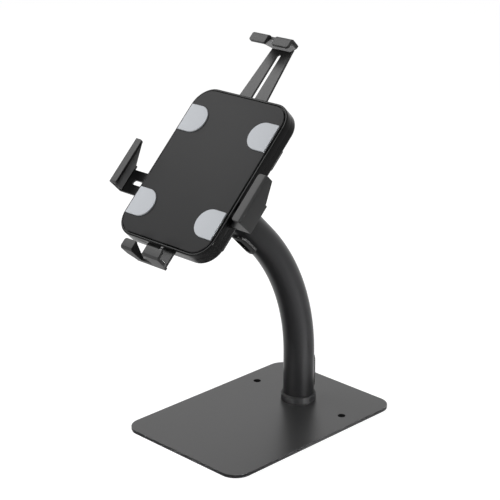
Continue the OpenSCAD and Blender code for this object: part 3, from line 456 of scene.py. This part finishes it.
panel_grids = [slab_grid(rounded_rect(PANEL_W, PANEL_H, PANEL_R), -PANEL_T, 0.0,
                         PANEL_EDGE, BACK_EDGE)]
for su in (-1, 1):
    for sv in (-1, 1):
        drum = arc(su * BOSS_U, sv * BOSS_V, BOSS_R, 0, 345, 24)
        panel_grids.append(slab_grid(drum, BOSS_LOW, -PANEL_T, BOSS_EDGE, BACK_EDGE))
panel_mesh = closed_mesh("panel_face", [from_head(grid) for grid in panel_grids])
link_piece("panel_face", panel_mesh, "panel_plastic", "head", "front_panel")
print("panel", PANEL_W, "x", PANEL_H, "mm")

# %% [markdown]
# Four soft pads keep the tablet's back off the plastic. Each has a straight edge along
# the panel's edge and a half-round end towards the middle. Silicone moulded in a shallow
# cavity comes out with a soft top edge, so these slabs get a larger radius.

# %% Pads
PAD_L, PAD_W, PAD_T, PAD_CORNER, PAD_EDGE = 33.0, 32.0, 1.5, 0.8, 0.6
PAD_EDGE_U = PANEL_W / 2 - PANEL_EDGE
PAD_V = {"upper": 52.5, "lower": -55.5}


def pad_outline(side, middle):
    """A straight edge at PAD_EDGE_U with small corners, and a half circle; side mirrors it."""
    r, c = PAD_L / 2, PAD_CORNER
    inner = PAD_EDGE_U - PAD_W + r
    outline = np.concatenate([arc(PAD_EDGE_U - c, r - c, c, 0, 90, 6), arc(inner, 0, r, 90, 270, 41),
                              arc(PAD_EDGE_U - c, c - r, c, 270, 360, 6)])
    outline = outline * [side, 1] + [0, middle]
    return outline if side > 0 else outline[::-1]


for height, middle in PAD_V.items():
    for word, side in (("left", -1), ("right", 1)):
        grid = slab_grid(pad_outline(side, middle), 0.0, PAD_T, PAD_EDGE, 0.0)
        pad = "pad_" + height + "_" + word
        pad_mesh = closed_mesh("soft_" + pad, [from_head(grid)])
        link_piece("soft_" + pad, pad_mesh, "pad_rubber", "head", pad)
print("pads", PAD_L, "x", PAD_W, "mm")

# %% [markdown]
# The front frame is one section carried round the head: a thin wall, whose rim is
# rounded like a wire, and a ledge inside it for the panel. Where an arm passes, the
# wall's lower edge steps up over the bar, so the height of that edge is a number of its
# own at every station. A Bevel modifier could round the section, but it would have to
# find the edges. Here each corner of the polygon is replaced by a short parabola.

# %% Rounded polygons
CORNER_STEPS, MOST_OF_SIDE = 5, 0.45


def round_corners(corners, radius):
    """Rounds polygons (stations, corners, 2): a corner P becomes (1-t)^2 A + 2 t (1-t) P + t^2 B.

    A and B lie on the two sides, radius away from P, or at most MOST_OF_SIDE of the side.
    """
    def along(side):
        """The point at the end of the rounding on one side of each corner."""
        length = np.linalg.norm(side, axis=-1, keepdims=True)
        cut = np.minimum(radius, MOST_OF_SIDE * length[..., 0])
        return (corners + side / length * cut[..., None])[:, :, None]

    a, b = (along(np.roll(corners, step, axis=1) - corners) for step in (1, -1))
    t = np.linspace(0, 1, CORNER_STEPS)[None, None, :, None]
    curve = (1 - t) ** 2 * a + 2 * t * (1 - t) * corners[:, :, None] + t ** 2 * b
    return curve.reshape(corners.shape[0], -1, 2)


# %% Front frame
WALL_T, LEDGE_W, LEDGE_T, RIM_N, SPLIT_N, BORDER = 2.6, 4.0, 2.0, -1.0, -9.7, 3.4
FRAME_W, FRAME_H, FRAME_R = PANEL_W + 2 * BORDER, PANEL_H + 2 * BORDER, PANEL_R + BORDER
PASS_N, PASS_U, PASS_V, STEP = -8.1, 20.3, (-48.3, -19.7), 0.3


def side_stops(low, high, *passes):
    """Stations along a straight side: both feet of the step at each end of every passage."""
    stops = [s for a, b in passes for s in (a, a + STEP, b - STEP, b)]
    return np.array([low] + stops + [high])


def frame_path():
    """Points round the outer face, their normals, and the height of the wall's lower edge at each.

    Along a side the normal is the same everywhere, and at a round corner it points from
    the corner's centre to the point.
    """
    x, y, r = FRAME_W / 2, FRAME_H / 2, FRAME_R
    up = side_stops(r - y, y - r, PASS_V)
    across = side_stops(r - x, x - r, (-PASS_U, PASS_U))
    side_low = np.array([SPLIT_N, SPLIT_N, PASS_N, PASS_N, SPLIT_N, SPLIT_N])
    points, normals, low = [], [], []
    for turn, reach, along, su, sv in ((0, x, up, 1, 1), (90, y, -across, -1, 1),
                                       (180, -x, up[::-1], -1, -1), (270, -y, across, 1, -1)):
        away = np.full(len(along), reach)
        side = np.stack([away, along] if turn % 180 == 0 else [along, away], axis=-1)
        centre = np.array([su * (x - r), sv * (y - r)])
        corner = arc(*centre, r, turn, turn + 90)[1:-1]
        a = math.radians(turn)
        points += [side, corner]
        normals += [np.tile([math.cos(a), math.sin(a)], (len(side), 1)), (corner - centre) / r]
        low += [side_low, np.full(len(corner), SPLIT_N)]
    return np.concatenate(points), np.concatenate(normals), np.concatenate(low)


path, path_normal, low_edge = frame_path()
seat, ledge = -PANEL_T, WALL_T + LEDGE_W
corners = ((0, low_edge), (0, RIM_N), (WALL_T, RIM_N), (WALL_T, seat), (ledge, seat),
           (ledge, seat - LEDGE_T), (WALL_T, seat - LEDGE_T), (WALL_T, low_edge))
rounding = np.array([[0.3, 1.4, 0.7, 0.1, 0.3, 0.3, 0.3, 0.3]])
one = np.ones(len(path))
section = np.stack([np.stack([inside * one, height * one], axis=-1)
                    for inside, height in corners], axis=1)
section = round_corners(section, rounding)
frame_grid = np.concatenate([path[:, None] - section[..., :1] * path_normal[:, None],
                             section[..., 1:]], axis=-1)
link_piece("front_rim", closed_mesh("front_rim", [from_head(frame_grid)], ring=True),
           "housing_plastic", "head", "front_frame")
print("frame", FRAME_W, "x", FRAME_H, "mm,", len(path), "stations")

# %% [markdown]
# A claw is moulded: a wall on the end of the bar and a lip that hooks over the tablet.
# Seen from the end it is one section, and along its width that section changes: the
# foot tapers to the bar, the lip's corners are round, and the upper and lower claws
# have a gap in the middle. So the section's nine corners are functions of the place
# across the claw, and the edges are rounded afterwards, all stations at once. A thin
# skirt of the wall hides the end of the bar.

# %% The claws' sizes
BAR_N, BAR_BACK_N, LIP_T, LIP_D, CLAW_WALL, CLAW_BEVEL = -8.4, -11.0, 3.4, 11.7, 3.2, 2.2
SHOULDER, LIP_CORNER, GAP_CORNER, SKIRT, END_EDGE = 1.4, 3.0, 1.0, 0.75, 0.3
STEP_DOWN, GAP_SLOPE, GAP_BEVEL, GAP_LIP_T, GAP_UNDER, SLIVER = 0.05, 0.35, 0.4, 1.0, 0.5, 0.01
CLAW_ROUNDING = np.array([[0.45, 0.7, 0.7, 0.45, 0.45, 0.8, 0.15, 0.1, 0.1]])
ARMS = {
    "top": {"angle": 0, "reach": 163.4, "drop": 0.0, "mirror": 1, "bar": 14.3,
            "feet": (14.3, 14.3), "lips": (28.5, 28.5), "top": 15.2, "gap": (-5.5, 5.5, 4.5)},
    "bottom": {"angle": 180, "reach": 114.4, "drop": 0.0, "mirror": 1, "bar": 20.0,
               "feet": (21.5, 21.5), "lips": (28.5, 28.5), "top": 15.2, "gap": (-5.55, 11.95, 20.5)},
    "left": {"angle": 90, "reach": 102.9, "drop": 34.0, "mirror": 1, "bar": 14.0,
             "feet": (14.0, 19.0), "lips": (14.0, 42.0), "top": 12.0, "gap": None},
    "right": {"angle": -90, "reach": 97.3, "drop": 34.0, "mirror": -1, "bar": 14.0,
              "feet": (14.0, 19.0), "lips": (14.0, 42.0), "top": 12.0, "gap": None},
}
print("arms:", ", ".join(ARMS))

# %% [markdown]
# Each claw is worked out in the frame of its arm, where x goes across, y out along the
# bar and n up. Its sides could be cut off square by a Boolean, but stations that lie
# close together where the section changes do the same with clean, closed faces.

# %% The claws
def claw_stations(arm):
    """Places across a claw: dense at its ends and gap, a close pair where the section jumps."""
    (left, right), gap = arm["lips"], arm["gap"]
    fine = 1 - np.cos(np.radians(np.linspace(0, 90, 7)))
    ends = np.concatenate([fine * END_EDGE, np.linspace(END_EDGE, LIP_CORNER, 8)[1:]])
    jumps = np.array([-arm["feet"][0], -arm["bar"]]), np.array([arm["bar"], arm["feet"][1]])
    stops = [-left + ends, right - ends, jumps[0], jumps[0] - STEP_DOWN,
             jumps[1], jumps[1] + STEP_DOWN]
    if gap:
        near = np.concatenate([[-GAP_SLOPE, 0.0], np.linspace(0, GAP_CORNER, 6)[1:]])
        stops += [gap[0] - near, gap[1] + near]
    x = np.unique(np.round(np.concatenate(stops), 4))
    return x[(x >= -left) & (x <= right)]


def corner_cut(distance, r):
    """What a round corner takes off at a distance d from the end: r - sqrt(r^2 - (r - d)^2)."""
    d = np.clip(distance, 0.0, r)
    return r - np.sqrt(np.maximum(r ** 2 - (r - d) ** 2, 0.0))


def claw_grid(arm):
    """Section loops across the claw, in the arm's frame: x across, y outwards, n up.

    The lower edge is the bar's back within the feet and slopes up to SHOULDER beyond them.
    Over the bar only the skirt goes down that far, and the rest of the wall stands on it.
    """
    x = claw_stations(arm)
    foot, reach = (np.where(x < 0, *arm[key]) for key in ("feet", "lips"))
    rise = np.clip((np.abs(x) - foot) / np.maximum(reach - foot, 1e-6), 0, 1)
    low = np.where(np.abs(x) > foot, BAR_N + rise * (SHOULDER - BAR_N), BAR_BACK_N)
    wall_low = np.where(np.abs(x) <= arm["bar"], BAR_N, low + 2 * SLIVER)
    to_end = np.minimum(x + arm["lips"][0], arm["lips"][1] - x)
    depth = LIP_D - corner_cut(to_end, LIP_CORNER)
    top, bevel, lip = (np.full(len(x), value) for value in (arm["top"], CLAW_BEVEL, LIP_T))
    if arm["gap"]:
        start, stop, deep = arm["gap"]
        beside = np.maximum(start - x, x - stop)
        inside = beside < -GAP_SLOPE / 2
        depth = np.where(inside, CLAW_WALL + SLIVER, depth - corner_cut(beside, GAP_CORNER))
        top = np.where(inside, top - deep, top)
        bevel, lip = np.where(inside, GAP_BEVEL, bevel), np.where(inside, GAP_LIP_T, lip)
    under = top - lip - np.where(lip < LIP_T, GAP_UNDER, 0.0)
    zero = 0 * x
    wall, skirt = zero - CLAW_WALL, zero - SKIRT
    corners = np.stack([np.stack(pair, axis=-1) for pair in (
        (zero, low), (zero, top - bevel), (-bevel, top), (-depth, top), (-depth, top - lip),
        (wall, under), (wall, wall_low), (skirt, wall_low), (skirt, low))], axis=1)
    inset = END_EDGE * (1 - np.sqrt(1 - (1 - np.clip(to_end / END_EDGE, 0, 1)) ** 2))
    loop = round_corners(inset_polygons(corners, inset), CLAW_ROUNDING)
    across = np.broadcast_to(x[:, None, None], loop.shape[:2] + (1,))
    return np.concatenate([across, loop], axis=-1)


def inset_polygons(corners, inset):
    """Moves corners inwards by inset (m + k) / (1 + m . k), m and k the normals of both sides."""
    side = np.roll(corners, -1, axis=1) - corners
    side = side / np.linalg.norm(side, axis=-1, keepdims=True)
    m = np.stack([-side[..., 1], side[..., 0]], axis=-1)
    x, y = corners[..., 0], corners[..., 1]
    turned = (x * np.roll(y, -1, 1) - np.roll(x, -1, 1) * y).sum(axis=1)
    m = m * np.sign(turned)[:, None, None]
    k = np.roll(m, 1, axis=1)
    move = (m + k) / (1 + (m * k).sum(axis=-1, keepdims=True))
    return corners + inset[:, None, None] * move


def from_arm(points, arm):
    """Arm frame to scene: mirror x if asked, move out by reach, turn by angle, move down by drop."""
    a = math.radians(arm["angle"])
    x, y = points[..., 0] * arm["mirror"], points[..., 1] + arm["reach"]
    turned = [x * math.cos(a) - y * math.sin(a), x * math.sin(a) + y * math.cos(a) - arm["drop"]]
    return from_head(np.stack(turned + [points[..., 2]], axis=-1))


for name, arm in ARMS.items():
    hook_mesh = closed_mesh(name + "_hook", [from_arm(claw_grid(arm), arm)])
    link_piece(name + "_hook", hook_mesh, "claw_plastic", name + "_arm", name + "_claw")
    print(name, "claw:", len(claw_stations(arm)), "stations")

# %% [markdown]
# The lip of each side claw ends in a thin dark strip, which stops short of the rounded
# corners and makes the lip's end face dark. It stands a little out of that face, so it is
# a rounded rectangle again, laid on the lip's end face.

# %% Strips on the side claws' lips
STRIP_W, STRIP_PROUD, STRIP_SUNK, STRIP_SHORT = 2.6, 0.12, 0.3, 3.2
STRIP_R, STRIP_EDGE = 1.1, 0.1
for name in ("left", "right"):
    arm = ARMS[name]
    left, right = arm["lips"]
    outline = rounded_rect(left + right - 2 * STRIP_SHORT, STRIP_W, STRIP_R)
    slab = slab_grid(outline, -STRIP_SUNK, STRIP_PROUD, STRIP_EDGE, 0.0)
    strip = np.stack([slab[..., 0] + (right - left) / 2, -LIP_D - slab[..., 2],
                      slab[..., 1] + arm["top"] - LIP_T / 2], axis=-1)
    strip_mesh = closed_mesh(name + "_lip_strip", [from_arm(strip, arm)])
    link_piece(name + "_lip_strip", strip_mesh, "mat_rubber", name + "_arm")
print("strip", STRIP_W, "mm wide")

# %% [markdown]
# The plates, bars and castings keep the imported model's exact shape, holes included, but
# no real edge is perfectly sharp. A copy of such a node is merged, its flat areas become
# single faces, and a Bevel modifier breaks the edges by a few tenths of a millimetre.
# That narrow band is what catches the light.

# %% Broken edges
MERGE = 1e-6
FLAT, BEVEL_FROM = math.radians(0.4), math.radians(50.0)


def broken_edges(node, name, width, slot, body):
    """A copy of a node's mesh: equal corners merged, flat areas dissolved, edges bevelled."""
    source = nodes[node].data
    coords = np.empty(len(source.vertices) * 3)
    source.vertices.foreach_get("co", coords)
    source.calc_loop_triangles()
    corners = np.empty(len(source.loop_triangles) * 3, dtype=np.int32)
    source.loop_triangles.foreach_get("vertices", corners)
    keys = np.round(coords.reshape(-1, 3) / MERGE).astype(np.int64)
    merged, back = np.unique(keys, axis=0, return_inverse=True)
    triangles = back.reshape(-1)[corners].reshape(-1, 3)
    good = ((triangles[:, 0] != triangles[:, 1]) & (triangles[:, 1] != triangles[:, 2])
            & (triangles[:, 2] != triangles[:, 0]))
    mesh = bpy.data.meshes.new(name)
    mesh.from_pydata((merged * MERGE).tolist(), [], triangles[good].tolist())
    work = bmesh.new()
    work.from_mesh(mesh)
    bmesh.ops.dissolve_limit(work, angle_limit=FLAT, use_dissolve_boundaries=False,
                             verts=work.verts, edges=work.edges)
    work.to_mesh(mesh)
    work.free()
    smooth_faces(mesh)
    piece = link_piece(name, mesh, slot, body, node)
    bevel = piece.modifiers.new("broken_edge", "BEVEL")
    bevel.width = width * MM
    bevel.segments = 2
    bevel.limit_method = "ANGLE"
    bevel.angle_limit = BEVEL_FROM
    bevel.use_clamp_overlap = True
    bevel.harden_normals = True
    return piece


SOFTENED = {
    "base_plate": ("desk_plate", 0.7, "base_coat", "base"),
    "neck_yoke": ("tilt_fork", 0.4, "joint_coat", "base"),
    "tilt_knuckle": ("tilt_block", 0.4, "joint_coat", "tilt"),
    "rear_bracket": ("head_bracket", 0.4, "joint_coat", "head"),
    "rear_housing": ("back_shell", 0.25, "housing_plastic", "head"),
}
for name in ARMS:
    SOFTENED[name + "_arm_bar"] = (name + "_slide", 0.35, "bar_coat", name + "_arm")
for node, (name, width, slot, body) in SOFTENED.items():
    piece = broken_edges(node, name, width, slot, body)
    print(name, len(piece.data.polygons), "faces")

# %% [markdown]
# What is left are screws, washers, the tube and the grommets. Their shapes in the packed
# model are already right, so they only get their finishes.

# %% Finishes of the other parts
slots = {row["node"]: row["material_slot"] for row in frame["record"]["subparts"]}
for name, thing in nodes.items():
    for material_slot in thing.material_slots:
        material_slot.material = finish[slots[name]]
print("parts from the packed model:", len(nodes))
